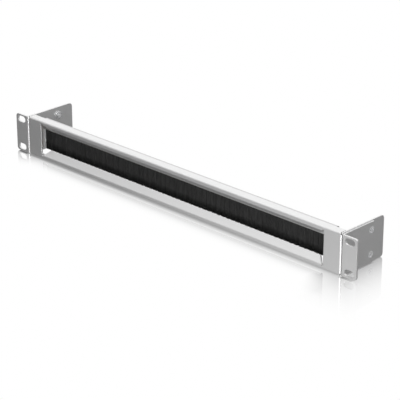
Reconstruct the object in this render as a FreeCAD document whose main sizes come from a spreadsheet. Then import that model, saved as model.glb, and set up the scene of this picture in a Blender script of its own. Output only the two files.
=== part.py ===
import FreeCAD, Part
import Sketcher
import math
import os
import re

# One rack unit high blanking panel with a bristle window, for a 19 inch rack.
# A folded sheet steel bezel has a long window with sloped lips. Behind it, a folded carrier
# holds a strip brush that hangs across the window, and two angle ears fix the panel to the rack.
#
# Axes: X along the panel, Y from front to back, Z up. The origin is the middle of the ears'
# slot pattern on the ears' rear faces, which is the plane that meets the rack posts.

# Driving sizes in millimetres

SIZES = {
    # rack standard
    "overall_width": 482.6,
    "panel_height": 43.65,
    "slot_inset": 8.75,
    "slot_margin": 5.95,
    "slot_length": 12.0,
    "slot_width": 7.0,
    # bezel
    "sheet_gauge": 1.5,
    "bend_inside": 0.5,
    "edge_flange_depth": 9.0,
    "side_flange_depth": 62.5,
    "side_flange_corner": 4.0,
    "window_inset": 21.2,
    "window_margin": 4.1,
    "window_corner": 2.0,
    "lip_length": 8.7,
    "lip_mitre": 7.0,
    # rack ears
    "ear_reach": 19.3,
    "ear_gauge": 2.0,
    "ear_bend_inside": 1.0,
    "ear_inset": 0.725,
    "ear_setback": 15.0,
    "ear_corner": 3.5,
    "ear_rear_corner": 2.5,
    "ear_screw_setback": 5.5,
    "ear_screw_margin": 9.125,
    # carrier
    "lip_clearance": 0.35,
    "carrier_grip": 10.2,
    "trough_lap": 1.5,
    "end_plate_inset": 4.0,
    "end_plate_reveal": 4.2,
    "end_plate_overlap": 0.85,
    "end_plate_corner": 2.0,
    "stud_margin": 5.4,
    # strip brush
    "brush_end_gap": 1.0,
    "channel_width": 4.8,
    "channel_height": 5.0,
    "channel_wall": 0.6,
    "wire_diameter": 1.6,
    "bristle_clearance": 0.1,
    "bristle_overlap": 2.0,
    "tuft_pitch": 6.4,
    "groove_width": 2.4,
    "groove_depth": 0.7,
    # fasteners
    "thread_diameter": 4.0,
    "thread_clearance": 0.05,
    "hole_clearance": 0.4,
    "screw_head_diameter": 7.5,
    "screw_length": 6.0,
    "recess_width": 0.9,
    "recess_length": 4.2,
    "recess_depth": 1.1,
    "clinch_diameter": 8.7,
    "clinch_height": 1.6,
    "clinch_shank": 6.4,
    "shoulder_diameter": 8.0,
    "stud_end": 1.0,
    "nut_across_flats": 7.0,
    "nut_height": 4.0,
    "nut_flange_diameter": 9.0,
    "nut_flange_height": 0.8,
}

# Sizes worked out from the driving ones

COS_45 = math.cos(math.radians(45))
TAN_HALF_45 = math.tan(math.radians(22.5))

DERIVED = {
    "half_width": "overall_width / 2",
    "half_height": "panel_height / 2",
    "half_body": "half_width - ear_reach",
    "bend_outside": "bend_inside + sheet_gauge",
    "ear_bend_outside": "ear_bend_inside + ear_gauge",
    # front and rear surfaces of the bezel's face
    "face_front": "0 - ear_gauge",
    "face_rear": "face_front + sheet_gauge",
    "flange_inside": "half_height - sheet_gauge",
    # window and lips, as distances from the middle
    "half_window": "half_body - window_inset",
    "window_edge": "half_height - window_margin",
    "lip_reach": f"lip_length * {COS_45:.9f}",
    "lip_step": f"sheet_gauge * {COS_45:.9f}",
    "lip_bend_run": f"bend_outside * {TAN_HALF_45:.9f}",
    "lip_root": "window_edge + lip_bend_run",
    "half_lip": "half_window - window_corner",
    "lip_tip_height": "window_edge - lip_reach",
    "lip_tip_depth": "face_front + lip_reach",
    # rack ears, their slots and their screws
    "ear_rear": "face_front + side_flange_depth - ear_setback",
    "slot_across": "half_width - slot_inset",
    "slot_up": "half_height - slot_margin",
    "ear_screw_place": "ear_rear - ear_screw_setback",
    "ear_screw_up": "half_height - ear_screw_margin",
    # carrier
    "web_front": "lip_tip_depth + lip_step + lip_clearance",
    "web_rear": "web_front + sheet_gauge",
    "carrier_rear": "web_rear + channel_width + sheet_gauge",
    "carrier_bottom": "flange_inside - carrier_grip",
    "end_plate_outer": "half_body - end_plate_inset",
    "end_plate_inner": "half_window + end_plate_reveal",
    "end_plate_top": "flange_inside - bend_outside",
    "end_plate_bottom": "0 - lip_tip_height - end_plate_overlap",
    "half_trough": "end_plate_inner + trough_lap",
    # strip brush
    "half_brush": "half_trough - brush_end_gap",
    "channel_top": "flange_inside - sheet_gauge",
    "channel_bottom": "channel_top - channel_height",
    "wire_height": "channel_top - channel_wall - 2 * bristle_clearance - wire_diameter",
    "brush_middle": "web_rear + channel_width / 2",
    "bristle_front": "web_rear + channel_wall + bristle_clearance",
    "bristle_rear": "web_rear + channel_width - channel_wall - bristle_clearance",
    "bristle_top": "channel_top - channel_wall - bristle_clearance",
    "bristle_bottom": "0 - lip_tip_height - bristle_overlap",
    "tuft_count": "round(2 * half_brush / tuft_pitch)",
    "tuft_width": "2 * half_brush / tuft_count",
    # studs and threads
    "thread_hole": "thread_diameter + 2 * thread_clearance",
    "clearance_hole": "thread_diameter + hole_clearance",
    "screw_head_height": "(screw_head_diameter - thread_diameter) / 2",
    "stud_across": "(end_plate_outer + end_plate_inner) / 2",
    "stud_middle": "(end_plate_top + end_plate_bottom) / 2",
    "stud_rise": "(end_plate_top - end_plate_bottom) / 2 - stud_margin",
    "shoulder_length": "web_front - face_rear",
    "stud_length": "web_rear - face_rear + nut_height + stud_end",
}

doc = FreeCAD.newDocument("brush_strip_panel")
sheet = doc.addObject("Spreadsheet::Sheet", "Sizes")
for row, (alias, value) in enumerate(SIZES.items(), start=1):
    sheet.set(f"A{row}", alias.replace("_", " "))
    sheet.set(f"B{row}", str(value))
    sheet.setAlias(f"B{row}", alias)
doc.recompute()


# Expressions

def formula(text):
    """Replace each size's name in an expression by its cell or by what it is worked out from."""
    def swap(match):
        word = match.group(0)
        if word in DERIVED:
            return "(" + formula(DERIVED[word]) + ")"
        return "Sizes." + word if word in SIZES else word
    return re.sub(r"[a-z][a-z_]*", swap, text)


def number(text):
    """Value of an expression in millimetres."""
    return float(sheet.evalExpression(formula(text)))


# Bodies and sketches

def new_body(label):
    body = doc.addObject("PartDesign::Body", label)
    body.Label = label
    return body


def origin_item(body, role):
    return next(item for item in body.Origin.OriginFeatures if item.Role == role)


def new_sketch(body, name, plane, offset=None):
    """Sketch on one of the body's own planes, moved along the plane's normal by an expression."""
    sketch = body.newObject("Sketcher::SketchObject", name)
    sketch.AttachmentSupport = [(origin_item(body, plane), "")]
    sketch.MapMode = "FlatFace"
    if offset is not None:
        sketch.setExpression("AttachmentOffset.Base.z", formula(offset))
    return sketch


def bind(sketch, constraint, text):
    index = sketch.addConstraint(constraint)
    sketch.setExpression(f"Constraints[{index}]", formula(text))


def pin_point(sketch, item, end, across, up):
    """Hold one end of a sketch item at a place given by two expressions."""
    bind(sketch, Sketcher.Constraint("DistanceX", -1, 1, item, end, number(across)), across)
    bind(sketch, Sketcher.Constraint("DistanceY", -1, 1, item, end, number(up)), up)


def outline(sketch, corners):
    """Closed outline of straight runs. A corner is (across, up) or (across, up, radius)."""
    count = len(corners)
    place = [FreeCAD.Vector(number(corner[0]), number(corner[1]), 0) for corner in corners]
    arrive = []
    leave = []
    for index, corner in enumerate(corners):
        before = (place[index] - place[index - 1]).normalize()
        after = (place[(index + 1) % count] - place[index]).normalize()
        if len(corner) == 2:
            arrive.append((corner[0], corner[1]))
            leave.append((corner[0], corner[1]))
            continue
        run = math.tan(before.getAngle(after) / 2)
        arrive.append(tuple(f"{corner[axis]} - ({corner[2]}) * {before[axis] * run:.9f}" for axis in (0, 1)))
        leave.append(tuple(f"{corner[axis]} + ({corner[2]}) * {after[axis] * run:.9f}" for axis in (0, 1)))

    lines = []
    for index in range(count):
        start = leave[index]
        finish = arrive[(index + 1) % count]
        line = sketch.addGeometry(Part.LineSegment(
            FreeCAD.Vector(number(start[0]), number(start[1]), 0),
            FreeCAD.Vector(number(finish[0]), number(finish[1]), 0)))
        lines.append(line)
    for index, corner in enumerate(corners):
        line_in = lines[index - 1]
        line_out = lines[index]
        pin_point(sketch, line_in, 2, *arrive[index])
        if len(corner) == 2:
            sketch.addConstraint(Sketcher.Constraint("Coincident", line_in, 2, line_out, 1))
            continue
        pin_point(sketch, line_out, 1, *leave[index])
        round_corner(sketch, line_in, line_out, place, index, number(corner[2]))


def round_corner(sketch, line_in, line_out, place, index, radius):
    """Arc from the end of one line to the start of the next, tangent to the first."""
    before = (place[index] - place[index - 1]).normalize()
    after = (place[(index + 1) % len(place)] - place[index]).normalize()
    turn = before.cross(after).z
    side = 1 if turn > 0 else -1
    run = radius * math.tan(before.getAngle(after) / 2)
    start = place[index] - before * run
    finish = place[index] + after * run
    centre = start + FreeCAD.Vector(-before.y, before.x, 0) * radius * side
    first, last = (start, finish) if side > 0 else (finish, start)
    angle_first = math.atan2(first.y - centre.y, first.x - centre.x)
    angle_last = math.atan2(last.y - centre.y, last.x - centre.x)
    circle = Part.Circle(centre, FreeCAD.Vector(0, 0, 1), radius)
    arc = sketch.addGeometry(Part.ArcOfCircle(circle, angle_first, angle_last))
    start_end, finish_end = (1, 2) if side > 0 else (2, 1)
    sketch.addConstraint(Sketcher.Constraint("Tangent", line_in, 2, arc, start_end))
    sketch.addConstraint(Sketcher.Constraint("Coincident", line_out, 1, arc, finish_end))


def circle_at(sketch, across, up, diameter):
    centre = FreeCAD.Vector(number(across), number(up), 0)
    item = sketch.addGeometry(Part.Circle(centre, FreeCAD.Vector(0, 0, 1), number(diameter) / 2))
    pin_point(sketch, item, 3, across, up)
    bind(sketch, Sketcher.Constraint("Diameter", item, number(diameter)), diameter)


def slot_at(sketch, across, up, length, width):
    """Oblong hole with round ends, its long way across."""
    centres = [f"{across} + {sign} * ({length} - ({width})) / 2" for sign in (1, -1)]
    radius = number(width) / 2
    height = number(up)
    arcs = []
    for centre, start in zip(centres, (-math.pi / 2, math.pi / 2)):
        circle = Part.Circle(FreeCAD.Vector(number(centre), height, 0), FreeCAD.Vector(0, 0, 1), radius)
        arcs.append(sketch.addGeometry(Part.ArcOfCircle(circle, start, start + math.pi)))
        pin_point(sketch, arcs[-1], 3, centre, up)
    right, left = (number(centre) for centre in centres)
    top = sketch.addGeometry(Part.LineSegment(
        FreeCAD.Vector(right, height + radius, 0), FreeCAD.Vector(left, height + radius, 0)))
    base = sketch.addGeometry(Part.LineSegment(
        FreeCAD.Vector(left, height - radius, 0), FreeCAD.Vector(right, height - radius, 0)))
    sketch.addConstraint(Sketcher.Constraint("Tangent", arcs[0], 2, top, 1))
    sketch.addConstraint(Sketcher.Constraint("Tangent", top, 2, arcs[1], 1))
    sketch.addConstraint(Sketcher.Constraint("Tangent", arcs[1], 2, base, 1))
    sketch.addConstraint(Sketcher.Constraint("Coincident", base, 2, arcs[0], 1))
    bind(sketch, Sketcher.Constraint("Radius", arcs[0], radius), f"{width} / 2")


# Features

def pad(body, name, sketch, length, side="One side", backwards=False):
    feature = body.newObject("PartDesign::Pad", name)
    feature.Profile = sketch
    feature.SideType = side
    feature.Reversed = backwards
    feature.setExpression("Length", formula(length))
    return feature


def cut_through(body, name, sketch):
    feature = body.newObject("PartDesign::Pocket", name)
    feature.Profile = sketch
    feature.Type = "ThroughAll"
    feature.SideType = "Symmetric"
    return feature


def revolve(body, name, sketch):
    feature = body.newObject("PartDesign::Revolution", name)
    feature.Profile = sketch
    feature.ReferenceAxis = (origin_item(body, "Z_Axis"), [""])
    feature.Angle = 360
    return feature


def mirror_sideways(body, name, originals):
    feature = body.newObject("PartDesign::Mirrored", name)
    feature.Originals = originals
    feature.MirrorPlane = (origin_item(body, "YZ_Plane"), [""])
    body.Tip = feature
    return feature


def round_edges(body, name, base, wanted, radius):
    """Fillet the straight edges of a feature whose middle and direction pass the test."""
    doc.recompute()
    names = []
    for index, edge in enumerate(base.Shape.Edges, start=1):
        if not isinstance(edge.Curve, Part.Line):
            continue
        if wanted(edge.CenterOfMass, edge.Curve.Direction):
            names.append(f"Edge{index}")
    feature = body.newObject("PartDesign::Fillet", name)
    feature.Base = (base, names)
    feature.setExpression("Radius", formula(radius))
    return feature


def place_body(body, across, depth, height, points_to):
    """Stand a body that was made along +Z at a place, with its +Z turned to a direction."""
    body.Placement = FreeCAD.Placement(
        FreeCAD.Vector(), FreeCAD.Rotation(FreeCAD.Vector(0, 0, 1), FreeCAD.Vector(*points_to)))
    body.setExpression("Placement.Base.x", formula(across))
    body.setExpression("Placement.Base.y", formula(depth))
    body.setExpression("Placement.Base.z", formula(height))


# Bezel: one folded sheet with a window, two sloped lips, edge flanges and deep side flanges

def make_front_bezel():
    body = new_body("front_bezel")

    section = new_sketch(body, "BezelSection", "YZ_Plane")
    flange_end = "face_front + edge_flange_depth"
    outline(section, [
        (flange_end, "half_height"),
        ("face_front", "half_height", "bend_outside"),
        ("face_front", "0 - half_height", "bend_outside"),
        (flange_end, "0 - half_height"),
        (flange_end, "0 - flange_inside"),
        ("face_rear", "0 - flange_inside", "bend_inside"),
        ("face_rear", "flange_inside", "bend_inside"),
        (flange_end, "flange_inside"),
    ])
    pad(body, "BezelFace", section, "2 * (half_body - bend_outside)", "Symmetric")

    side_bend = new_sketch(body, "SideBendSection", "XY_Plane")
    inner_side = "half_body - sheet_gauge"
    bend_start = "half_body - 2 * bend_outside"
    bend_end = "face_front + 2 * bend_outside"
    outline(side_bend, [
        (bend_start, "face_front"),
        ("half_body", "face_front", "bend_outside"),
        ("half_body", bend_end),
        (inner_side, bend_end),
        (inner_side, "face_rear", "bend_inside"),
        (bend_start, "face_rear"),
    ])
    bend = pad(body, "SideBend", side_bend, "panel_height - 2 * bend_outside", "Symmetric")

    side_plate = new_sketch(body, "SideFlangeOutline", "YZ_Plane", inner_side)
    plate_front = "face_front + bend_outside"
    plate_rear = "face_front + side_flange_depth"
    outline(side_plate, [
        (plate_front, "half_height"),
        (plate_front, "0 - half_height"),
        (plate_rear, "0 - half_height", "side_flange_corner"),
        (plate_rear, "half_height", "side_flange_corner"),
    ])
    flange = pad(body, "SideFlange", side_plate, "sheet_gauge")
    mirror_sideways(body, "OtherSide", [bend, flange])

    window = new_sketch(body, "WindowOutline", "XZ_Plane")
    outline(window, [
        (f"{across} * half_window", f"{up} * lip_root", "window_corner")
        for across, up in ((1, 1), (-1, 1), (-1, -1), (1, -1))
    ])
    cut_through(body, "Window", window)

    for name, up in (("Upper", 1), ("Lower", -1)):
        lip = new_sketch(body, f"{name}LipSection", "YZ_Plane")
        strip_lap = f"{up} * (lip_root + lip_bend_run)"
        outline(lip, [
            ("face_front", strip_lap),
            ("face_front", f"{up} * window_edge", "bend_outside"),
            ("lip_tip_depth", f"{up} * lip_tip_height"),
            ("lip_tip_depth + lip_step", f"{up} * (lip_tip_height + lip_step)"),
            ("face_rear", f"{up} * (window_edge + sheet_gauge * {math.sqrt(2) - 1:.9f})", "bend_inside"),
            ("face_rear", strip_lap),
        ])
        pad(body, f"{name}Lip", lip, "2 * half_lip", "Symmetric")

    mitres = new_sketch(body, "LipMitres", "XZ_Plane")
    past_tip = 1.3
    for across, up in ((1, 1), (-1, 1), (-1, -1), (1, -1)):
        below = f"{up} * (window_edge - lip_reach * {past_tip})"
        outline(mitres, [
            (f"{across} * half_lip", f"{up} * window_edge"),
            (f"{across} * (half_lip - lip_mitre * {past_tip})", below),
            (f"{across} * half_window", below),
            (f"{across} * half_window", f"{up} * window_edge"),
        ])
    cut_through(body, "LipMitre", mitres)

    nut_holes = new_sketch(body, "NutHoles", "YZ_Plane")
    for up in (1, -1):
        circle_at(nut_holes, "ear_screw_place", f"{up} * ear_screw_up", "clinch_shank")
    cut_through(body, "NutHole", nut_holes)
    return body


# Rack ear: an angle bracket with two slots for the rack and two countersunk holes

def make_rack_ear(label, side):
    body = new_body(label)
    outer = f"{side} * (half_body + ear_gauge)"

    section = new_sketch(body, "EarSection", "XY_Plane")
    outline(section, [
        (f"{side} * half_width", "face_front"),
        (f"{side} * half_body", "face_front", "ear_bend_outside"),
        (f"{side} * half_body", "ear_rear"),
        (outer, "ear_rear"),
        (outer, "face_front + ear_gauge", "ear_bend_inside"),
        (f"{side} * half_width", "face_front + ear_gauge"),
    ])
    angle = pad(body, "EarAngle", section, "2 * (half_height - ear_inset)", "Symmetric")

    ear_edge = number("half_width") - 0.1
    rear_edge = number("ear_rear") - 0.1
    front = round_edges(
        body, "EarCorners", angle,
        lambda middle, way: abs(way.y) > 0.9 and abs(middle.x) > ear_edge, "ear_corner")
    rear = round_edges(
        body, "RearCorners", front,
        lambda middle, way: abs(way.x) > 0.9 and middle.y > rear_edge, "ear_rear_corner")
    body.Tip = rear

    slots = new_sketch(body, "SlotOutlines", "XZ_Plane")
    for up in (1, -1):
        slot_at(slots, f"{side} * slot_across", f"{up} * slot_up", "slot_length", "slot_width")
    cut_through(body, "Slots", slots)

    hole_places = new_sketch(body, "ScrewHoles", "YZ_Plane", outer)
    for up in (1, -1):
        circle_at(hole_places, "ear_screw_place", f"{up} * ear_screw_up", "clearance_hole")
    doc.recompute()
    holes = body.newObject("PartDesign::Hole", "CountersunkHoles")
    holes.Profile = hole_places
    holes.DepthType = "ThroughAll"
    holes.HoleCutType = "Countersink"
    holes.HoleCutCustomValues = True
    holes.HoleCutCountersinkAngle = 90
    holes.Reversed = side < 0
    holes.setExpression("Diameter", formula("clearance_hole"))
    holes.setExpression("HoleCutDiameter", formula("screw_head_diameter"))
    return body


# Carrier: an inverted trough that grips the brush, with an end plate welded on at each end

def make_brush_carrier():
    body = new_body("brush_carrier")

    section = new_sketch(body, "TroughSection", "YZ_Plane")
    wall_front = "carrier_rear - sheet_gauge"
    roof_inside = "flange_inside - sheet_gauge"
    outline(section, [
        ("web_front", "carrier_bottom"),
        ("web_front", "flange_inside", "bend_outside"),
        ("carrier_rear", "flange_inside", "bend_outside"),
        ("carrier_rear", "carrier_bottom"),
        (wall_front, "carrier_bottom"),
        (wall_front, roof_inside, "bend_inside"),
        ("web_rear", roof_inside, "bend_inside"),
        ("web_rear", "carrier_bottom"),
    ])
    pad(body, "Trough", section, "2 * half_trough", "Symmetric")
    return body


def make_carrier_end(label, side):
    """Flat plate in the plane of the trough's front wall. A notch fits it round the trough's end."""
    body = new_body(label)
    plate = new_sketch(body, "EndPlateOutline", "XZ_Plane", "0 - web_front")
    outline(plate, [
        (f"{side} * end_plate_inner", "end_plate_bottom"),
        (f"{side} * end_plate_outer", "end_plate_bottom", "end_plate_corner"),
        (f"{side} * end_plate_outer", "end_plate_top", "end_plate_corner"),
        (f"{side} * half_trough", "end_plate_top"),
        (f"{side} * half_trough", "carrier_bottom"),
        (f"{side} * end_plate_inner", "carrier_bottom"),
    ])
    pad(body, "EndPlate", plate, "sheet_gauge", backwards=True)

    holes = new_sketch(body, "StudHoles", "XZ_Plane")
    for up in (1, -1):
        circle_at(holes, *stud_place(side, up), "clearance_hole")
    cut_through(body, "StudHole", holes)
    return body


# Strip brush: a rolled steel channel, the wire that the filaments fold over, and the bristles

def make_brush_channel():
    body = new_body("brush_channel")
    section = new_sketch(body, "ChannelSection", "YZ_Plane")
    rear = "web_rear + channel_width"
    inner_corner = "channel_wall / 3"
    outer_corner = "channel_wall * 4 / 3"
    roof = "channel_top - channel_wall"
    outline(section, [
        ("web_rear", "channel_bottom"),
        ("web_rear", "channel_top", outer_corner),
        (rear, "channel_top", outer_corner),
        (rear, "channel_bottom"),
        (f"{rear} - channel_wall", "channel_bottom"),
        (f"{rear} - channel_wall", roof, inner_corner),
        ("web_rear + channel_wall", roof, inner_corner),
        ("web_rear + channel_wall", "channel_bottom"),
    ])
    pad(body, "Channel", section, "2 * half_brush", "Symmetric")
    return body


def make_core_wire():
    body = new_body("brush_core_wire")
    section = new_sketch(body, "WireSection", "YZ_Plane")
    circle_at(section, "brush_middle", "wire_height", "wire_diameter")
    pad(body, "Wire", section, "2 * half_brush", "Symmetric")
    return body


def make_bristle_row():
    """Curtain of bristles, folded over the wire and gathered in tufts with a groove between them."""
    body = new_body("bristle_row")
    section = new_sketch(body, "CurtainSection", "YZ_Plane")
    outline(section, [
        ("bristle_front", "bristle_bottom"),
        ("bristle_front", "bristle_top"),
        ("bristle_rear", "bristle_top"),
        ("bristle_rear", "bristle_bottom"),
    ])
    pad(body, "Curtain", section, "2 * half_brush", "Symmetric")

    bore = new_sketch(body, "WireBoreSection", "YZ_Plane")
    circle_at(bore, "brush_middle", "wire_height", "wire_diameter")
    cut_through(body, "WireBore", bore)

    valleys = new_sketch(body, "TuftGrooveSection", "XY_Plane")
    first = "(tuft_width - half_brush)"
    for surface, inward in (("bristle_front", 1), ("bristle_rear", -1)):
        outside = f"{surface} - {inward} * groove_depth"
        outline(valleys, [
            (f"{first} - groove_width", outside),
            (f"{first} + groove_width", outside),
            (first, f"{surface} + {inward} * groove_depth"),
        ])
    groove = cut_through(body, "TuftGroove", valleys)
    tufts = body.newObject("PartDesign::LinearPattern", "Tufts")
    tufts.Originals = [groove]
    tufts.Direction = (origin_item(body, "X_Axis"), [""])
    tufts.setExpression("Length", formula("2 * (half_brush - tuft_width)"))
    tufts.setExpression("Occurrences", formula("tuft_count - 1"))
    body.Tip = tufts
    return body


# Fasteners

def make_ear_screw(label, side, up):
    """Countersunk screw with a cross recess. Its head is flush with the ear's outer face."""
    body = new_body(label)
    profile = new_sketch(body, "ScrewProfile", "XZ_Plane")
    outline(profile, [
        ("0", "0"),
        ("screw_head_diameter / 2", "0"),
        ("thread_diameter / 2", "0 - screw_head_height"),
        ("thread_diameter / 2", "0 - screw_length"),
        ("0", "0 - screw_length"),
    ])
    revolve(body, "Screw", profile)
    for name, arm, width in (
            ("One", "recess_length", "recess_width"),
            ("Two", "recess_width", "recess_length")):
        cross = new_sketch(body, f"Recess{name}Outline", "XY_Plane")
        outline(cross, [
            (f"{across} * {arm} / 2", f"{along} * {width} / 2")
            for across, along in ((1, 1), (-1, 1), (-1, -1), (1, -1))
        ])
        recess = body.newObject("PartDesign::Pocket", f"Recess{name}")
        recess.Profile = cross
        recess.setExpression("Length", formula("recess_depth"))
    place_body(body, f"{side} * (half_body + ear_gauge)", "ear_screw_place",
               f"{up} * ear_screw_up", (side, 0, 0))
    return body


def make_clinch_nut(label, side, up):
    """Round nut pressed into the side flange from inside."""
    body = new_body(label)
    profile = new_sketch(body, "NutProfile", "XZ_Plane")
    outline(profile, [
        ("thread_hole / 2", "0 - sheet_gauge"),
        ("clinch_shank / 2", "0 - sheet_gauge"),
        ("clinch_shank / 2", "0"),
        ("clinch_diameter / 2", "0"),
        ("clinch_diameter / 2", "clinch_height"),
        ("thread_hole / 2", "clinch_height"),
    ])
    revolve(body, "ClinchNut", profile)
    place_body(body, f"{side} * (half_body - sheet_gauge)", "ear_screw_place",
               f"{up} * ear_screw_up", (-side, 0, 0))
    return body


def stud_place(side, up):
    return f"{side} * stud_across", f"stud_middle + {up} * stud_rise"


def make_weld_stud(label, side, up):
    """Stud welded to the back of the bezel's face. Its shoulder holds the carrier off the lips."""
    body = new_body(label)
    profile = new_sketch(body, "StudProfile", "XZ_Plane")
    outline(profile, [
        ("0", "0"),
        ("shoulder_diameter / 2", "0"),
        ("shoulder_diameter / 2", "shoulder_length"),
        ("thread_diameter / 2", "shoulder_length"),
        ("thread_diameter / 2", "stud_length"),
        ("0", "stud_length"),
    ])
    revolve(body, "Stud", profile)
    across, height = stud_place(side, up)
    place_body(body, across, "face_rear", height, (0, 1, 0))
    return body


def make_stud_nut(label, side, up):
    """Hexagon nut with a round flange that bears on the carrier's end plate."""
    body = new_body(label)
    hexagon = new_sketch(body, "HexagonOutline", "XY_Plane")
    corner_ratio = 1 / math.cos(math.radians(30)) / 2
    corners = []
    for step in range(6):
        angle = math.radians(60 * step)
        corners.append((f"nut_across_flats * {math.cos(angle) * corner_ratio:.9f}",
                        f"nut_across_flats * {math.sin(angle) * corner_ratio:.9f}"))
    outline(hexagon, corners)
    pad(body, "Hexagon", hexagon, "nut_height")
    flange = new_sketch(body, "FlangeOutline", "XY_Plane")
    circle_at(flange, "0", "0", "nut_flange_diameter")
    pad(body, "Flange", flange, "nut_flange_height")
    bore = new_sketch(body, "ThreadOutline", "XY_Plane")
    circle_at(bore, "0", "0", "thread_hole")
    cut_through(body, "Thread", bore)
    across, height = stud_place(side, up)
    place_body(body, across, "web_rear", height, (0, 1, 0))
    return body


# The assembly

parts = [
    make_front_bezel(),
    make_rack_ear("rack_ear_left", -1),
    make_rack_ear("rack_ear_right", 1),
    make_brush_carrier(),
    make_carrier_end("carrier_end_left", -1),
    make_carrier_end("carrier_end_right", 1),
    make_brush_channel(),
    make_core_wire(),
    make_bristle_row(),
]
for side_name, side in (("left", -1), ("right", 1)):
    for level, up in (("upper", 1), ("lower", -1)):
        where = f"{side_name}_{level}"
        parts.append(make_ear_screw(f"ear_screw_{where}", side, up))
        parts.append(make_clinch_nut(f"clinch_nut_{where}", side, up))
        parts.append(make_weld_stud(f"weld_stud_{where}", side, up))
        parts.append(make_stud_nut(f"stud_nut_{where}", side, up))
doc.recompute()

# Checks and export

for item in doc.Objects:
    if "Invalid" in item.State or "Error" in item.State:
        raise RuntimeError(f"{item.Label} failed: {item.State}")
for item in parts:
    if item.Shape.isNull() or not item.Shape.isValid() or len(item.Shape.Solids) != 1:
        raise RuntimeError(f"{item.Label} is not one valid solid")

os.makedirs("parts", exist_ok=True)
for item in parts:
    item.Shape.exportStep(f"parts/{item.Label}.step")
    box = item.Shape.BoundBox
    print(f"{item.Label}: {item.Shape.Volume:.1f} mm3, {len(item.Shape.Faces)} faces, "
          f"{box.XMin:.2f} {box.YMin:.2f} {box.ZMin:.2f} to {box.XMax:.2f} {box.YMax:.2f} {box.ZMax:.2f}")
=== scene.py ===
"""Dresses a one unit rack panel with a brush window: coated sheet steel, a strip brush of black
nylon and plated fasteners, standing on a lit floor in a white studio."""
import math
import random

import bpy
from bpy.props import FloatProperty, FloatVectorProperty, IntProperty, PointerProperty
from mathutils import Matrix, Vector


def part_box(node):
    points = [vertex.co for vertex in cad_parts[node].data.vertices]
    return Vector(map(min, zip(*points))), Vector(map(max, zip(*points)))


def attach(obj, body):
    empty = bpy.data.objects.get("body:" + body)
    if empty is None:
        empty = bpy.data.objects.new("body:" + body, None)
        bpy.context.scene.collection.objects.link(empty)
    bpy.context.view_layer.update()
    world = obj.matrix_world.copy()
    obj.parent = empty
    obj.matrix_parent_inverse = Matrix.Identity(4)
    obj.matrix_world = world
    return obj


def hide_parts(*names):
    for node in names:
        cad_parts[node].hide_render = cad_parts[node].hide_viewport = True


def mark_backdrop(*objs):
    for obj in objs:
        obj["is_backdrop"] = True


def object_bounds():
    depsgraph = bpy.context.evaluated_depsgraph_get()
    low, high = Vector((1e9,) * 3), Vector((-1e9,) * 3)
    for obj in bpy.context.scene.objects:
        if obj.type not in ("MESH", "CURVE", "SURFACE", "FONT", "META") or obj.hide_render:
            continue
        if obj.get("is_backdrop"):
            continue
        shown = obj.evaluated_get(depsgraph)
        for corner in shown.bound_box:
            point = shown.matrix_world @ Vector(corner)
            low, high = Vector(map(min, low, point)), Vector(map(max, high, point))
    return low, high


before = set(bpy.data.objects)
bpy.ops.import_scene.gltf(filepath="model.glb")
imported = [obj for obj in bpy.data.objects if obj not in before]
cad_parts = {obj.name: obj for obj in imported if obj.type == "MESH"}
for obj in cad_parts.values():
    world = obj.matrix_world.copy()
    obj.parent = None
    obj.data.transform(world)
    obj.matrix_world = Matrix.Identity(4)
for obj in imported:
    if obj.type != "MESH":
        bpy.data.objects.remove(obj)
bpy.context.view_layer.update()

bl_info = {
    "name": "Rack Brush Strip Panel",
    "version": (1, 0, 0),
    "blender": (4, 5, 0),
    "location": "View3D > Sidebar > Brush Panel",
    "description": "Finishes the sheet metal, the strip brush and the fasteners of a rack brush panel",
    "category": "Object",
}

MM = 0.001

# From the end of the bezel to the window's upright edge
WINDOW_INSET = 21.2 * MM
# From the outer face of a side plate to the end of its ear
EAR_REACH = 17.3 * MM
# Half the width of the lit floor and of the card under it, in metres
FLOOR_HALF = 4.0

# Inputs and outputs of a Mix node. The first is the same for colours and numbers.
MIX_SHARE = 0
MIX_FIRST = 6
MIX_SECOND = 7
MIX_RESULT = 2
MIX_FIRST_NUMBER = 2
MIX_SECOND_NUMBER = 3
MIX_NUMBER = 0


def linear(hex_colour):
    """The linear colour of an sRGB hex colour."""
    channels = (int(hex_colour[place:place + 2], 16) / 255 for place in (1, 3, 5))
    return [c / 12.92 if c <= 0.04045 else ((c + 0.055) / 1.055) ** 2.4 for c in channels] + [1.0]


WHITE = linear("#FFFFFF")


def shaded(colour, share):
    """A share of a linear colour."""
    return [channel * share for channel in colour[:3]] + [1.0]


def add_node(tree, kind, inputs=None, **settings):
    """A node with its settings. An input is linked where it is given a socket, else it is set."""
    node = tree.nodes.new(kind)
    for name, value in settings.items():
        setattr(node, name, value)
    for name, value in (inputs or {}).items():
        if isinstance(value, bpy.types.NodeSocket):
            tree.links.new(value, node.inputs[name])
        else:
            node.inputs[name].default_value = value
    return node


def size_across(tree, vector):
    """Socket with how far a vector goes to the left or the right."""
    axes = add_node(tree, "ShaderNodeSeparateXYZ", {"Vector": vector})
    size = add_node(tree, "ShaderNodeMath", {0: axes.outputs["X"]}, operation="ABSOLUTE")
    return size.outputs["Value"]


def new_material(name):
    material = bpy.data.materials.new(name)
    material.use_nodes = True
    material.node_tree.nodes.clear()
    return material, material.node_tree


def dress(names, material):
    """Give every CAD node whose name starts with one of the names a material."""
    for name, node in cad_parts.items():
        if name.startswith(names):
            for slot in node.material_slots:
                slot.material = material


def new_piece(name, vertices, faces, material, smooth=True):
    mesh = bpy.data.meshes.new(name)
    mesh.from_pydata(vertices, [], faces)
    mesh.polygons.foreach_set("use_smooth", [smooth] * len(faces))
    mesh.update()
    mesh.materials.append(material)
    piece = bpy.data.objects.new(name, mesh)
    bpy.context.scene.collection.objects.link(piece)
    return piece


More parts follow.
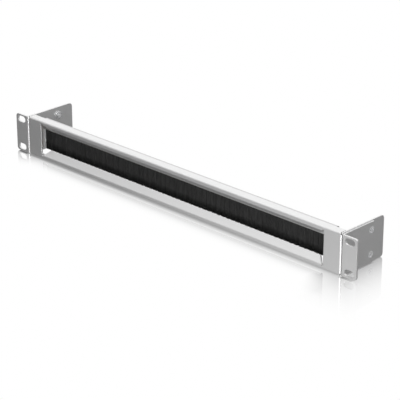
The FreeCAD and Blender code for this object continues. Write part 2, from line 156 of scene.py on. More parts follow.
class SheetSettings(bpy.types.PropertyGroup):
    coat_colour: FloatVectorProperty(
        name="Coat colour", description="Colour of the metallic powder coat",
        subtype="COLOR", size=4, min=0, max=1, default=linear("#F2F2F2"))
    coat_roughness: FloatProperty(
        name="Coat roughness", description="How satin the coat is",
        subtype="FACTOR", min=0, max=1, default=0.36)
    coat_metal: FloatProperty(
        name="Flake share",
        description="Share of the coat that shines as metal, the rest being clear binder",
        subtype="FACTOR", min=0, max=1, default=0.82)
    edge_round: FloatProperty(
        name="Edge rounding", description="Radius that the coat gives to a cut edge",
        unit="LENGTH", subtype="DISTANCE", min=0, default=0.12 * MM)
    window_round: FloatProperty(
        name="Window side rounding", description="Radius of the window's two upright edges",
        unit="LENGTH", subtype="DISTANCE", min=0, default=1.2 * MM)


class BrushSettings(bpy.types.PropertyGroup):
    filament_diameter: FloatProperty(
        name="Filament diameter", description="Thickness of one bristle",
        unit="LENGTH", subtype="DISTANCE", min=0.05 * MM, default=0.25 * MM)
    filament_rows: IntProperty(
        name="Rows", description="Rows of filaments from front to back", min=1, default=9)
    tuft_pitch: FloatProperty(
        name="Tuft pitch", description="Distance between the tufts that the filaments gather in",
        unit="LENGTH", subtype="DISTANCE", min=0.5 * MM, default=6.4 * MM)
    groove_width: FloatProperty(
        name="Groove width", description="Width of the groove between two tufts",
        unit="LENGTH", subtype="DISTANCE", min=0.1 * MM, default=2.4 * MM)
    groove_depth: FloatProperty(
        name="Groove depth", description="Depth of the groove between two tufts",
        unit="LENGTH", subtype="DISTANCE", min=0, default=0.7 * MM)
    dark_colour: FloatVectorProperty(
        name="Dark filaments", description="Colour of the darkest nylon",
        subtype="COLOR", size=4, min=0, max=1, default=linear("#1E1E1E"))
    pale_colour: FloatVectorProperty(
        name="Pale filaments", description="Colour of the palest nylon",
        subtype="COLOR", size=4, min=0, max=1, default=linear("#383938"))


class FastenerSettings(bpy.types.PropertyGroup):
    zinc_colour: FloatVectorProperty(
        name="Zinc colour", description="Colour of the clear zinc plating",
        subtype="COLOR", size=4, min=0, max=1, default=linear("#F0F1F2"))
    copper_colour: FloatVectorProperty(
        name="Copper colour", description="Colour of the copper flash on the weld studs",
        subtype="COLOR", size=4, min=0, max=1, default=linear("#CDB3A4"))
    thread_pitch: FloatProperty(
        name="Thread pitch", description="Pitch of the thread on the studs",
        unit="LENGTH", subtype="DISTANCE", min=0.1 * MM, default=0.7 * MM)


class StageSettings(bpy.types.PropertyGroup):
    camera_azimuth: FloatProperty(
        name="Camera azimuth",
        description="Direction of the camera round the panel, from the front",
        subtype="ANGLE", default=math.radians(44.41))
    camera_elevation: FloatProperty(
        name="Camera elevation", description="Height of the camera above the horizon",
        subtype="ANGLE", default=math.radians(23.07))
    camera_distance: FloatProperty(
        name="Camera distance", description="From the camera to the point that it looks at",
        unit="LENGTH", subtype="DISTANCE", min=0.1, default=1.7511)
    lens: FloatProperty(
        name="Lens", description="Focal length on a 36 mm sensor",
        subtype="DISTANCE_CAMERA", min=1, default=158.66)
    left_gloss: FloatProperty(
        name="Gloss at the left", description="Share of the mirror image at the left end's foot",
        subtype="FACTOR", min=0, max=1, default=0.95)
    right_gloss: FloatProperty(
        name="Gloss at the right", description="Share of the mirror image at the right end's foot",
        subtype="FACTOR", min=0, max=1, default=0.77)
    side_gloss: FloatProperty(
        name="Gloss beside the panel",
        description="Share of the mirror image at the right side plate's foot",
        subtype="FACTOR", min=0, max=1, default=0.84)
    left_reach: FloatProperty(
        name="Reach at the left", description="Where the mirror image of the left end has faded",
        unit="LENGTH", subtype="DISTANCE", min=1 * MM, default=50 * MM)
    right_reach: FloatProperty(
        name="Reach at the right", description="Where the mirror image of the right end has faded",
        unit="LENGTH", subtype="DISTANCE", min=1 * MM, default=82 * MM)
    window_reach: FloatProperty(
        name="Reach under the window",
        description="Where the mirror image of the window's frame has faded",
        unit="LENGTH", subtype="DISTANCE", min=1 * MM, default=30 * MM)
    strip_power: FloatProperty(
        name="Strip light power", description="Power of the tall light under the lit floor",
        unit="POWER", min=0, default=6.0)
    fill_power: FloatProperty(
        name="Fill light power", description="Power of the large soft light behind the camera",
        unit="POWER", min=0, default=4.2)


class CoatSheets(bpy.types.Operator):
    """Coat the bezel, the ears and the carrier"""
    bl_idname = "brush_panel.coat_sheets"
    bl_label = "Coat the Sheet Metal"

    def execute(self, context):
        settings = context.scene.panel_sheets
        coat = settings.coat_colour
        metal = settings.coat_metal
        trough_painted_shade = 0.8
        dry_metal = 0.0
        dress(("front_bezel", "rack_ear"),
              silver_powder_coat("silver_powder_coat", coat, metal, settings, dry_mitres=True))
        # The trough gets a darker copy of the coat: painted shade for its place in the shadow of the
        # upper lip.
        dress(("brush_carrier",),
              silver_powder_coat("painted_shade_powder_coat", shaded(coat, trough_painted_shade), metal, settings))
        dress(("carrier_end",), silver_powder_coat("dry_powder_coat", coat, dry_metal, settings))
        return {"FINISHED"}


def silver_powder_coat(name, coat_colour, flake_share, settings, dry_mitres=False):
    """Aluminium flake powder coat, sprayed and baked. The flakes make it shine like satin metal,
    and the melted powder leaves a fine orange peel and rounds the cut edges. The colour is darkened
    in the seams and creases as painted shade. Behind the window the trough gets a darker copy as
    painted shade, and the end plates are coated drily, so they are matt."""
    peel_width = 0.9 * MM
    peel_height = 0.004 * MM
    cloud_width = 14 * MM
    cloud_shade = 0.97
    satin_spread = 0.02
    seam_reach = 2.5 * MM
    seam_shut = 0.25
    seam_open = 0.6
    seam_shade = 0.45
    material, tree = new_material(name)
    place = add_node(tree, "ShaderNodeTexCoord")
    cloud = add_node(tree, "ShaderNodeTexNoise", {
        "Vector": place.outputs["Object"], "Scale": 1 / cloud_width, "Detail": 3.0})
    peel = add_node(tree, "ShaderNodeTexNoise", {
        "Vector": place.outputs["Object"], "Scale": 1 / peel_width, "Detail": 1.0})
    colour = add_node(tree, "ShaderNodeMix", {
        MIX_SHARE: cloud.outputs["Fac"], MIX_FIRST: shaded(coat_colour, cloud_shade),
        MIX_SECOND: coat_colour}, data_type="RGBA")
    roughness = add_node(tree, "ShaderNodeMapRange", {
        "Value": cloud.outputs["Fac"], "To Min": settings.coat_roughness - satin_spread,
        "To Max": settings.coat_roughness + satin_spread})
    edges = add_node(tree, "ShaderNodeBevel", {
        "Radius": edge_radius(tree, place, settings)}, samples=8)
    bump = add_node(tree, "ShaderNodeBump", {
        "Strength": 1.0, "Distance": peel_height,
        "Height": peel.outputs["Fac"], "Normal": edges.outputs["Normal"]})
    # Painted shade: the coat's colour is darkened where the surface is hemmed in, in seams, creases
    # and corners.
    seam = add_node(tree, "ShaderNodeAmbientOcclusion", {"Distance": seam_reach}, samples=8)
    painted_seam_shade = add_node(tree, "ShaderNodeMapRange", {
        "Value": seam.outputs["AO"], "From Min": seam_shut, "From Max": seam_open,
        "To Min": seam_shade, "To Max": 1.0})
    coat_with_painted_shade = add_node(tree, "ShaderNodeMix", {
        MIX_SHARE: 1.0, MIX_FIRST: colour.outputs[MIX_RESULT],
        MIX_SECOND: painted_seam_shade.outputs["Result"]}, data_type="RGBA", blend_type="MULTIPLY")
    flakes = mitred_flakes(tree, place, flake_share) if dry_mitres else flake_share
    shader = add_node(tree, "ShaderNodeBsdfPrincipled", {
        "Base Color": coat_with_painted_shade.outputs[MIX_RESULT], "Metallic": flakes,
        "Roughness": roughness.outputs["Result"], "Normal": bump.outputs["Normal"]})
    add_node(tree, "ShaderNodeOutputMaterial", {"Surface": shader.outputs["BSDF"]})
    return material


def half_window():
    """From the panel's middle to the window's upright edge."""
    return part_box("front_bezel")[1][0] - WINDOW_INSET


def mitred_flakes(tree, place, flake_share):
    """Socket with the share of flakes. There are none on the cut ends of the window's lips, where
    the spray lands dry and matt."""
    mitre = 7 * MM
    inside_edge = 1 * MM
    facing = 0.6
    at_mitre = add_node(tree, "ShaderNodeMath", {
        0: size_across(tree, place.outputs["Object"]),
        1: half_window() - mitre / 2 - inside_edge, 2: mitre / 2}, operation="COMPARE")
    faces_side = add_node(tree, "ShaderNodeMath", {
        0: size_across(tree, place.outputs["Normal"]), 1: facing}, operation="GREATER_THAN")
    on_end = add_node(tree, "ShaderNodeMath", {
        0: at_mitre.outputs["Value"], 1: faces_side.outputs["Value"]}, operation="MULTIPLY")
    flakes = add_node(tree, "ShaderNodeMapRange", {
        "Value": on_end.outputs["Value"], "To Min": flake_share, "To Max": 0.0})
    return flakes.outputs["Result"]


def edge_radius(tree, place, settings):
    """Socket with the edge rounding: the small one, and the large one at the window's sides."""
    band = 1.6 * MM
    beside = add_node(tree, "ShaderNodeMath", {
        0: size_across(tree, place.outputs["Object"]), 1: half_window(), 2: band},
        operation="COMPARE")
    radius = add_node(tree, "ShaderNodeMapRange", {
        "Value": beside.outputs["Value"],
        "To Min": settings.edge_round, "To Max": settings.window_round})
    return radius.outputs["Result"]


class FinishChannel(bpy.types.Operator):
    """Finish the rolled channel and the wire that hold the filaments"""
    bl_idname = "brush_panel.finish_channel"
    bl_label = "Finish the Brush Channel"

    def execute(self, context):
        dress(("brush_channel", "brush_core_wire"), galvanised_steel())
        return {"FINISHED"}


def galvanised_steel():
    """Galvanised steel strip, cold rolled. Rolling draws fine scratches along the channel."""
    scratch_width = 0.15 * MM
    scratch_length = 30 * MM
    material, tree = new_material("rolled_galvanised_steel")
    place = add_node(tree, "ShaderNodeTexCoord")
    stretched = add_node(tree, "ShaderNodeMapping", {
        "Vector": place.outputs["Object"],
        "Scale": (1 / scratch_length, 1 / scratch_width, 1 / scratch_width)})
    scratches = add_node(tree, "ShaderNodeTexNoise", {
        "Vector": stretched.outputs["Vector"], "Scale": 1.0, "Detail": 2.0})
    colour = add_node(tree, "ShaderNodeMix", {
        MIX_SHARE: scratches.outputs["Fac"],
        MIX_FIRST: linear("#A9ADB0"), MIX_SECOND: linear("#C9CDD0")}, data_type="RGBA")
    roughness = add_node(tree, "ShaderNodeMapRange", {
        "Value": scratches.outputs["Fac"], "To Min": 0.28, "To Max": 0.44})
    shader = add_node(tree, "ShaderNodeBsdfPrincipled", {
        "Base Color": colour.outputs[MIX_RESULT], "Metallic": 1.0,
        "Roughness": roughness.outputs["Result"]})
    add_node(tree, "ShaderNodeOutputMaterial", {"Surface": shader.outputs["BSDF"]})
    return material


class PlantBristles(bpy.types.Operator):
    """Fold the filaments over the wire and let them hang across the window"""
    bl_idname = "brush_panel.plant_bristles"
    bl_label = "Plant the Bristles"

    def execute(self, context):
        settings = context.scene.panel_brush
        material = black_nylon(settings)
        for piece in [*hanging_filaments(settings, material), folded_roots(material)]:
            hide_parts("bristle_row")
            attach(piece, "root")
        return {"FINISHED"}


def black_nylon(settings):
    """Nylon filament, extruded and drawn. Each bundle takes the dye and the light a little
    differently, so the brush shows fine upright streaks."""
    streak_width = 0.9 * MM
    streak_length = 25 * MM
    darkest = 0.35
    palest = 0.7
    material, tree = new_material("drawn_black_nylon")
    place = add_node(tree, "ShaderNodeTexCoord")
    stretched = add_node(tree, "ShaderNodeMapping", {
        "Vector": place.outputs["Object"],
        "Scale": (1 / streak_width, 1 / streak_width, 1 / streak_length)})
    streaks = add_node(tree, "ShaderNodeTexNoise", {
        "Vector": stretched.outputs["Vector"], "Scale": 1.0, "Detail": 2.0})
    contrast = add_node(tree, "ShaderNodeMapRange", {
        "Value": streaks.outputs["Fac"], "From Min": darkest, "From Max": palest})
    colour = add_node(tree, "ShaderNodeMix", {
        MIX_SHARE: contrast.outputs["Result"],
        MIX_FIRST: settings.dark_colour, MIX_SECOND: settings.pale_colour}, data_type="RGBA")
    shader = add_node(tree, "ShaderNodeBsdfPrincipled", {
        "Base Color": colour.outputs[MIX_RESULT], "Roughness": 0.45, "IOR": 1.53})
    add_node(tree, "ShaderNodeOutputMaterial", {"Surface": shader.outputs["BSDF"]})
    return material


def root_bottom():
    """Height in the middle between the channel's lower edge and the wire's."""
    return (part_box("brush_channel")[0][2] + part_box("brush_core_wire")[0][2]) / 2


def add_filament(vertices, faces, centres, radius, turn):
    """Add a thin three-sided filament along its centres, closed at its tip."""
    sides = 3
    first = len(vertices)
    for x, y, z in centres:
        for side in range(sides):
            angle = turn + side * math.tau / sides
            vertices.append((x + radius * math.cos(angle), y + radius * math.sin(angle), z))
    for above in range(first, len(vertices) - sides, sides):
        below = above + sides
        for side in range(sides):
            after = (side + 1) % sides
            faces.append((above + side, above + after, below + after, below + side))
    faces.append(tuple(range(len(vertices) - sides, len(vertices))))


def hanging_filaments(settings, material):
    """Pieces of thin filaments that hang in tufts with a groove between them, and are trimmed
    flat. Inside a tuft they lie in small bundles, some of them a little deeper."""
    pieces = 4
    rings = 4
    diameters_apart = 1.08
    place_scatter = 0.4
    row_scatter = 0.3
    depth_at_root = 0.97
    bundle_width = 1.3 * MM
    bundle_depth = 0.12 * MM
    shared_lean = 0.04 * MM
    own_lean = 0.2 * MM
    own_bow = 0.1 * MM
    lean_curve = 1.5
    trim_scatter = 0.12 * MM
    trim_past = 0.25 * MM
    low, high = (Vector(corner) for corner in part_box("bristle_row"))
    root_height = root_bottom()
    length = high.x - low.x
    radius = settings.filament_diameter / 2
    spacing = settings.filament_diameter * diameters_apart
    per_row = int((length - 2 * radius) / spacing)
    tuft_count = round(length / settings.tuft_pitch)
    tuft_width = length / tuft_count
    middle = (low.y + high.y) / 2
    half_depth = (high.y - low.y) / 2 - radius
    chance = random.Random(7)
    tuft_lean = [chance.gauss(0, shared_lean) for _ in range(tuft_count + 1)]
    bundles = [(chance.gauss(0, shared_lean), abs(chance.gauss(0, bundle_depth)))
               for _ in range(int(length / bundle_width) + 1)]
    made = []
    for part in range(pieces):
        vertices = []
        faces = []
        for row in range(settings.filament_rows):
            for place in range(part * per_row // pieces, (part + 1) * per_row // pieces):
                scatter = chance.uniform(-place_scatter, place_scatter)
                along = radius + (place + 0.5 + scatter) * spacing
                from_groove = abs(along - round(along / tuft_width) * tuft_width)
                groove_share = max(0.0, 1 - 2 * from_groove / settings.groove_width)
                bundle_lean, bundle_inset = bundles[int(along / bundle_width)]
                row_place = row + chance.uniform(-row_scatter, row_scatter)
                across = max(-1, min(1, row_place / (settings.filament_rows - 1) * 2 - 1))
                depth = across * (half_depth - settings.groove_depth * groove_share - bundle_inset)
                lean = tuft_lean[int(along / tuft_width)] + bundle_lean + chance.gauss(0, own_lean)
                bow = chance.gauss(0, own_bow)
                tip = low.z - trim_past + abs(chance.gauss(0, trim_scatter))
                turn = chance.uniform(0, math.tau)
                centres = []
                for ring in range(rings):
                    share = ring / (rings - 1)
                    x = low.x + along + lean * share ** lean_curve + bow * math.sin(math.pi * share)
                    centres.append((
                        max(low.x + radius, min(high.x - radius, x)),
                        middle + depth * (depth_at_root + (1 - depth_at_root) * share),
                        root_height + (tip - root_height) * share))
                add_filament(vertices, faces, centres, radius, turn)
        made.append(new_piece(f"filaments_{part + 1}", vertices, faces, material))
    return made


def folded_roots(material):
    """The filaments' fold over the wire, inside the channel, ribbed along its length."""
    overlap = 0.3 * MM
    rib = 0.06 * MM
    rib_pitch = 0.5 * MM
    arc_steps = 10
    low, high = (Vector(corner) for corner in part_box("bristle_row"))
    wire_low, wire_high = (Vector(corner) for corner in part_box("brush_core_wire"))
    middle = (low.y + high.y) / 2
    half_depth = (high.y - low.y) / 2
    wire_radius = (wire_high.z - wire_low.z) / 2
    wire_middle = (wire_high.z + wire_low.z) / 2
    bottom = root_bottom() - overlap
    fold_height = high.z - wire_middle
    outer = [(-half_depth, bottom)]
    inner = [(-wire_radius, bottom)]
    for step in range(arc_steps + 1):
        angle = math.pi - math.pi * step / arc_steps
        outer.append((half_depth * math.cos(angle), wire_middle + fold_height * math.sin(angle)))
        inner.append((wire_radius * math.cos(angle), wire_middle + wire_radius * math.sin(angle)))
    outer.append((half_depth, bottom))
    inner.append((wire_radius, bottom))
    profile = outer + inner[::-1]
    around = len(profile)
    count = int((high.x - low.x) / rib_pitch)
    chance = random.Random(11)
    vertices = []
    faces = []
    for slice_index in range(count + 1):
        x = low.x + (high.x - low.x) * slice_index / count
        shrink = 1 - chance.uniform(0, rib) / half_depth
        for index, (y, z) in enumerate(profile):
            scale = shrink if index < len(outer) else 1.0
            vertices.append((x, middle + y * scale, wire_middle + (z - wire_middle) * scale))
    for base in range(0, count * around, around):
        for index in range(around):
            after = (index + 1) % around
            faces.append((base + index, base + after, base + around + after, base + around + index))
    for base, flip in ((0, True), (count * around, False)):
        for index in range(len(outer) - 1):
            across = base + around - 1 - index
            ring = (base + index, base + index + 1, across - 1, across)
            faces.append(ring[::-1] if flip else ring)
    return new_piece("folded_filament_roots", vertices, faces, material)


class PlateFasteners(bpy.types.Operator):
    """Plate the screws and the nuts and copper the weld studs"""
    bl_idname = "brush_panel.plate_fasteners"
    bl_label = "Plate the Fasteners"

    def execute(self, context):
        settings = context.scene.panel_fasteners
        dress(("ear_screw", "stud_nut"), zinc_plate(
            "clear_zinc_plate", settings, edge_round=0.3 * MM, least_rough=0.2, metal_share=0.25))
        dress(("clinch_nut",), zinc_plate(
            "tumbled_zinc_plate", settings, edge_round=1.8 * MM, least_rough=0.22, metal_share=0.6))
        dress(("weld_stud",), copper_flash(settings))
        return {"FINISHED"}


def zinc_plate(name, settings, edge_round, least_rough, metal_share):
    """Steel with clear zinc plating. It is pale, with soft cloudy patches from the bath, a white
    bloom that dulls the metal's shine, and edges that the barrel has worn round. The nuts have
    tumbled longer, so they are rounder and shinier."""
    cloud_width = 1.5 * MM
    cloud_shade = 0.85
    rough_spread = 0.1
    material, tree = new_material(name)
    place = add_node(tree, "ShaderNodeTexCoord")
    cloud = add_node(tree, "ShaderNodeTexNoise", {
        "Vector": place.outputs["Object"], "Scale": 1 / cloud_width, "Detail": 4.0})
    colour = add_node(tree, "ShaderNodeMix", {
        MIX_SHARE: cloud.outputs["Fac"], MIX_FIRST: shaded(settings.zinc_colour, cloud_shade),
        MIX_SECOND: settings.zinc_colour}, data_type="RGBA")
    roughness = add_node(tree, "ShaderNodeMapRange", {
        "Value": cloud.outputs["Fac"],
        "To Min": least_rough, "To Max": least_rough + rough_spread})
    edges = add_node(tree, "ShaderNodeBevel", {"Radius": edge_round}, samples=8)
    shader = add_node(tree, "ShaderNodeBsdfPrincipled", {
        "Base Color": colour.outputs[MIX_RESULT], "Metallic": metal_share,
        "Roughness": roughness.outputs["Result"], "Normal": edges.outputs["Normal"]})
    add_node(tree, "ShaderNodeOutputMaterial", {"Surface": shader.outputs["BSDF"]})
    return material


def copper_flash(settings):
    """Steel weld stud with a thin copper flash and a rolled thread, drawn as rings of its pitch."""
    thread_depth = 0.3 * MM
    # Length of one band of the wave texture at scale 1
    band_length = math.tau / 20
    material, tree = new_material("copper_flashed_stud")
    place = add_node(tree, "ShaderNodeTexCoord")
    thread = add_node(tree, "ShaderNodeTexWave", {
        "Vector": place.outputs["Object"], "Scale": band_length / settings.thread_pitch},
        wave_type="BANDS", bands_direction="Y")
    bump = add_node(tree, "ShaderNodeBump", {
        "Strength": 1.0, "Distance": thread_depth, "Height": thread.outputs["Fac"]})
    shader = add_node(tree, "ShaderNodeBsdfPrincipled", {
        "Base Color": settings.copper_colour, "Metallic": 1.0, "Roughness": 0.3,
        "Normal": bump.outputs["Normal"]})
    add_node(tree, "ShaderNodeOutputMaterial", {"Surface": shader.outputs["BSDF"]})
    return material


class SetStage(bpy.types.Operator):
    """Set up the lit floor, the grey cards, the two lights and the camera"""
    bl_idname = "brush_panel.set_stage"
    bl_label = "Set the Stage"

    def execute(self, context):
        settings = context.scene.panel_stage
        low, high = (Vector(corner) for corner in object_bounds())
        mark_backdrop(studio_floor(settings, low, high), bounce_card(low, high), front_card(low),
                 side_card(low), rear_card(low), strip_light(settings), fill_light(settings))
        studio_world(context.scene)
        place_camera(context.scene, settings, low)
        return {"FINISHED"}


def flat_sheet(name, height, material):
    """Square sheet that lies flat, as wide as the lit floor."""
    corners = ((-1, -1), (1, -1), (1, 1), (-1, 1))
    return new_piece(name, [(x * FLOOR_HALF, y * FLOOR_HALF, height) for x, y in corners],
                     [(0, 1, 2, 3)], material, smooth=False)


def studio_floor(settings, low, high):
    """White acrylic floor, polished. It glows white like a lit table and mirrors the panel's foot,
    less and less with the distance from the panel. A painted contact shadow, a grey tint of the
    mirror image, follows the foot of the ears."""
    material, tree = new_material("polished_white_acrylic")
    place = add_node(tree, "ShaderNodeTexCoord")
    axes = add_node(tree, "ShaderNodeSeparateXYZ", {"Vector": place.outputs["Object"]})
    outward = size_across(tree, place.outputs["Object"])
    in_front = add_node(tree, "ShaderNodeMath", {
        0: low.y, 1: axes.outputs["Y"]}, operation="SUBTRACT").outputs["Value"]
    glow = add_node(tree, "ShaderNodeEmission", {"Color": WHITE, "Strength": 1.0})
    mirror = add_node(tree, "ShaderNodeBsdfGlossy", {
        "Color": painted_contact_shadow(tree, outward, in_front, high), "Roughness": 0.06})
    blend = add_node(tree, "ShaderNodeMixShader", {
        0: mirror_share(tree, axes, outward, in_front, settings, low, high),
        1: glow.outputs["Emission"], 2: mirror.outputs["BSDF"]})
    add_node(tree, "ShaderNodeOutputMaterial", {"Surface": blend.outputs["Shader"]})
    floor = flat_sheet("studio_floor", low.z, material)
    floor.visible_diffuse = False
    floor.visible_glossy = False
    floor.visible_shadow = False
    return floor


def painted_contact_shadow(tree, outward, in_front, high):
    """Socket with the mirror image's tint, which is grey along the foot of the ears: a painted contact
    shadow.
    """
    half_line = 2.5 * MM
    ear_corner = 4 * MM
    at_ear = add_node(tree, "ShaderNodeMath", {
        0: outward, 1: high.x - (EAR_REACH + ear_corner) / 2,
        2: (EAR_REACH - ear_corner) / 2}, operation="COMPARE")
    touching = add_node(tree, "ShaderNodeMath", {
        0: in_front, 1: 0.0, 2: half_line}, operation="COMPARE")
    in_painted_shadow = add_node(tree, "ShaderNodeMath", {
        0: at_ear.outputs["Value"], 1: touching.outputs["Value"]}, operation="MULTIPLY")
    # Painted shadow: the mirror image is tinted grey in a line along the foot of each ear.
    tint = add_node(tree, "ShaderNodeMix", {
        MIX_SHARE: in_painted_shadow.outputs["Value"], MIX_FIRST: WHITE, MIX_SECOND: linear("#808080")},
        data_type="RGBA")
    return tint.outputs[MIX_RESULT]


def mirror_share(tree, axes, outward, in_front, settings, low, high):
    """Socket with the share of the mirror image. It falls with the distance from the front faces
    and from the right side plate, sooner under the window than at the ends, and it is nothing
    under the panel, past its left end and behind it."""
    end_face = 30 * MM
    fade = 14 * MM
    bend = 2.5 * MM
    falloff = 3.0
    beside = add_node(tree, "ShaderNodeMath", {
        0: axes.outputs["X"], 1: high.x - EAR_REACH}, operation="SUBTRACT")
    away = add_node(tree, "ShaderNodeMath", {
        0: in_front, 1: beside.outputs["Value"]}, operation="MAXIMUM")
    at_end = add_node(tree, "ShaderNodeMapRange", {
        "Value": outward,
        "From Min": high.x - end_face - fade, "From Max": high.x - end_face + fade})
    end_reach = add_node(tree, "ShaderNodeMapRange", {
        "Value": axes.outputs["X"], "From Min": low.x, "From Max": high.x,
        "To Min": settings.left_reach, "To Max": settings.right_reach})
    reach = add_node(tree, "ShaderNodeMix", {
        MIX_SHARE: at_end.outputs["Result"], MIX_FIRST_NUMBER: settings.window_reach,
        MIX_SECOND_NUMBER: end_reach.outputs["Result"]}, data_type="FLOAT")
    distance = add_node(tree, "ShaderNodeMath", {
        0: away.outputs["Value"], 1: reach.outputs[MIX_NUMBER]}, operation="DIVIDE")
    unfaded = add_node(tree, "ShaderNodeMapRange", {
        "Value": distance.outputs["Value"], "From Min": 0.0, "From Max": 1.0,
        "To Min": 1.0, "To Max": 0.0})
    eased = add_node(tree, "ShaderNodeMath", {
        0: unfaded.outputs["Result"], 1: falloff}, operation="POWER")
    front_gloss = add_node(tree, "ShaderNodeMapRange", {
        "Value": axes.outputs["X"], "From Min": low.x, "From Max": high.x,
        "To Min": settings.left_gloss, "To Max": settings.right_gloss})
    behind_face = add_node(tree, "ShaderNodeMath", {
        0: axes.outputs["Y"], 1: low.y}, operation="GREATER_THAN")
    gloss = add_node(tree, "ShaderNodeMix", {
        MIX_SHARE: behind_face.outputs["Value"], MIX_FIRST_NUMBER: front_gloss.outputs["Result"],
        MIX_SECOND_NUMBER: settings.side_gloss}, data_type="FLOAT")
    clear = add_node(tree, "ShaderNodeMath", {
        0: away.outputs["Value"], 1: -bend}, operation="GREATER_THAN")
    right_of_end = add_node(tree, "ShaderNodeMath", {
        0: axes.outputs["X"], 1: low.x}, operation="GREATER_THAN")
    before_rear = add_node(tree, "ShaderNodeMath", {
        0: axes.outputs["Y"], 1: high.y}, operation="LESS_THAN")
    share = eased.outputs["Value"]
    for factor in (gloss.outputs[MIX_NUMBER], clear.outputs["Value"],
                   right_of_end.outputs["Value"], before_rear.outputs["Value"]):
        product = add_node(tree, "ShaderNodeMath", {0: share, 1: factor}, operation="MULTIPLY")
        share = product.outputs["Value"]
    return share


def glow_unseen(card, tree, strength):
    """Make a card glow, and hide it from all but the metal and the mirror image."""
    glow = add_node(tree, "ShaderNodeEmission", {"Color": WHITE, "Strength": strength})
    add_node(tree, "ShaderNodeOutputMaterial", {"Surface": glow.outputs["Emission"]})
    card.visible_camera = False
    card.visible_shadow = False
    return card


def bounce_card(low, high):
    """Grey card that the metal sees in place of the white floor. It is paler towards the right, and
    dark behind the panel."""
    left = 0.172
    right = 0.53
    behind = 0.21
    half_change = 5 * MM
    under_floor = 0.5 * MM
    material, tree = new_material("matt_grey_card")
    place = add_node(tree, "ShaderNodeTexCoord")
    axes = add_node(tree, "ShaderNodeSeparateXYZ", {"Vector": place.outputs["Object"]})
    across = add_node(tree, "ShaderNodeMapRange", {
        "Value": axes.outputs["X"], "From Min": low.x, "From Max": high.x,
        "To Min": left, "To Max": right})
    rearward = add_node(tree, "ShaderNodeMapRange", {
        "Value": axes.outputs["Y"], "From Min": -half_change, "From Max": half_change})
    strength = add_node(tree, "ShaderNodeMix", {
        MIX_SHARE: rearward.outputs["Result"], MIX_FIRST_NUMBER: across.outputs["Result"],
        MIX_SECOND_NUMBER: behind}, data_type="FLOAT")
    card = flat_sheet("bounce_card", low.z - under_floor, material)
    return glow_unseen(card, tree, strength.outputs[MIX_NUMBER])


def standing_card(name, start, end, bottom, top, strengths):
    """Grey card that stands on one edge, from a start to an end on the floor plan. Its glow goes
    from the first strength to the second with X, so a card along Y has two equal ones."""
    material, tree = new_material(name)
    place = add_node(tree, "ShaderNodeTexCoord")
    axes = add_node(tree, "ShaderNodeSeparateXYZ", {"Vector": place.outputs["Object"]})
    strength = add_node(tree, "ShaderNodeMapRange", {
        "Value": axes.outputs["X"], "From Min": start[0], "From Max": max(end[0], start[0] + MM),
        "To Min": strengths[0], "To Max": strengths[1]})
    card = new_piece(name, [(*start, bottom), (*end, bottom), (*end, top), (*start, top)],
                     [(0, 1, 2, 3)], material, smooth=False)
    return glow_unseen(card, tree, strength.outputs["Result"])


def front_card(low):
    """Card in front, which the mirror image of the front faces sees, darker at its left."""
    return standing_card("front_grey_card", start=(-1.1, -0.6), end=(0.7, -0.6),
                         bottom=low.z, top=0.62, strengths=(0.1, 0.9))


def side_card(low):
    """Card to the left. The left part of the window's lower lip sees it, and is darker."""
    return standing_card("side_grey_card", start=(-0.6, -0.5), end=(-0.6, low.y),
                         bottom=0.15, top=0.56, strengths=(0.62, 0.62))


def rear_card(low):
    """Card to the rear right, which the mirror image of the side plate sees."""
    return standing_card("rear_grey_card", start=(0.85, 0.15), end=(0.85, 1.3),
                         bottom=low.z, top=0.62, strengths=(0.2, 0.2))


def outward_direction(azimuth, elevation):
    """Direction from the panel, with the azimuth measured from the front towards the right."""
    flat = math.cos(elevation)
    return Vector((math.sin(azimuth) * flat, -math.cos(azimuth) * flat, math.sin(elevation)))


def aimed_light(name, width, height, power, azimuth, elevation, distance):
    """Area light that faces the middle of the panel, out of the camera's sight."""
    data = bpy.data.lights.new(name, "AREA")
    data.shape = "RECTANGLE"
    data.size = width
    data.size_y = height
    data.energy = power
    light = bpy.data.objects.new(name, data)
    light.location = distance * outward_direction(azimuth, elevation)
    light.rotation_euler = (math.pi / 2 - elevation, 0, azimuth)
    light.visible_camera = False
    bpy.context.scene.collection.objects.link(light)
    return light


def strip_light(settings):
    """Tall soft strip under the lit floor, on the camera's side. It draws the bright line along
    each upright bend, and the floor's mirror image doesn't show it."""
    light = aimed_light(
        "strip_light", width=0.25, height=0.6, power=settings.strip_power,
        azimuth=math.radians(45), elevation=math.radians(-22), distance=1.5)
    light.visible_diffuse = False
    return light


def fill_light(settings):
    """Large soft light behind the camera. It lifts the matt end plates of the window and puts a
    bright spot on the rounded edges of the screws and nuts."""
    return aimed_light(
        "fill_light", width=0.32, height=0.32, power=settings.fill_power,
        azimuth=math.radians(44), elevation=math.radians(28), distance=1.8)


def studio_world(scene):
    """White surround, as a white tent round the stage."""
    world = bpy.data.worlds.new("white_tent")
    world.use_nodes = True
    tree = world.node_tree
    tree.nodes.clear()
    glow = add_node(tree, "ShaderNodeBackground", {"Color": WHITE, "Strength": 1.0})
    add_node(tree, "ShaderNodeOutputWorld", {"Surface": glow.outputs["Background"]})
    scene.world = world
    scene.view_settings.view_transform = "Standard"


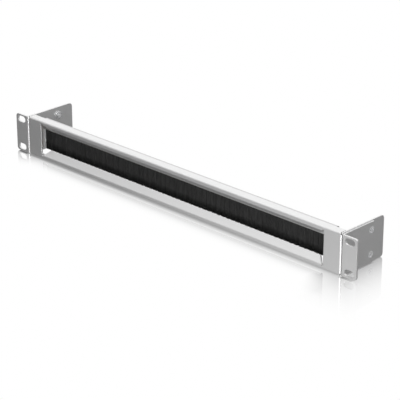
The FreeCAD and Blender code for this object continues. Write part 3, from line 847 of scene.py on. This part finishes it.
def place_camera(scene, settings, low):
    """Camera at the height and on the side that show the front, the top and the right end."""
    data = bpy.data.cameras.new("camera")
    data.lens = settings.lens
    data.sensor_width = 36.0
    data.clip_start = 0.05
    data.clip_end = 50.0
    camera = bpy.data.objects.new("camera", data)
    look_at = Vector((39.34 * MM, low.y, 0.975 * MM))
    back = outward_direction(settings.camera_azimuth, settings.camera_elevation)
    camera.location = look_at + back * settings.camera_distance
    camera.rotation_mode = "QUATERNION"
    camera.rotation_quaternion = (-back).to_track_quat("-Z", "Y")
    scene.collection.objects.link(camera)
    scene.camera = camera


class BrushPanelSidebar(bpy.types.Panel):
    """Lists the steps that finish the panel"""
    bl_idname = "VIEW3D_PT_brush_panel"
    bl_label = "Rack Brush Panel"
    bl_space_type = "VIEW_3D"
    bl_region_type = "UI"
    bl_category = "Brush Panel"

    def draw(self, context):
        scene = context.scene
        for settings, operators in (
                (scene.panel_sheets, (CoatSheets,)),
                (scene.panel_brush, (FinishChannel, PlantBristles)),
                (scene.panel_fasteners, (PlateFasteners,)),
                (scene.panel_stage, (SetStage,))):
            box = self.layout.box()
            for name in settings.__annotations__:
                box.prop(settings, name)
            for operator in operators:
                box.operator(operator.bl_idname)


CLASSES = (
    SheetSettings, BrushSettings, FastenerSettings, StageSettings,
    CoatSheets, FinishChannel, PlantBristles, PlateFasteners, SetStage, BrushPanelSidebar,
)

GROUPS = {
    "panel_sheets": SheetSettings,
    "panel_brush": BrushSettings,
    "panel_fasteners": FastenerSettings,
    "panel_stage": StageSettings,
}


def register():
    for item in CLASSES:
        bpy.utils.register_class(item)
    for name, group in GROUPS.items():
        setattr(bpy.types.Scene, name, PointerProperty(type=group))


def unregister():
    for name in GROUPS:
        delattr(bpy.types.Scene, name)
    for item in reversed(CLASSES):
        bpy.utils.unregister_class(item)


def main():
    register()
    bpy.ops.brush_panel.coat_sheets()
    bpy.ops.brush_panel.finish_channel()
    bpy.ops.brush_panel.plant_bristles()
    bpy.ops.brush_panel.plate_fasteners()
    bpy.ops.brush_panel.set_stage()


if __name__ == "__main__":
    main()
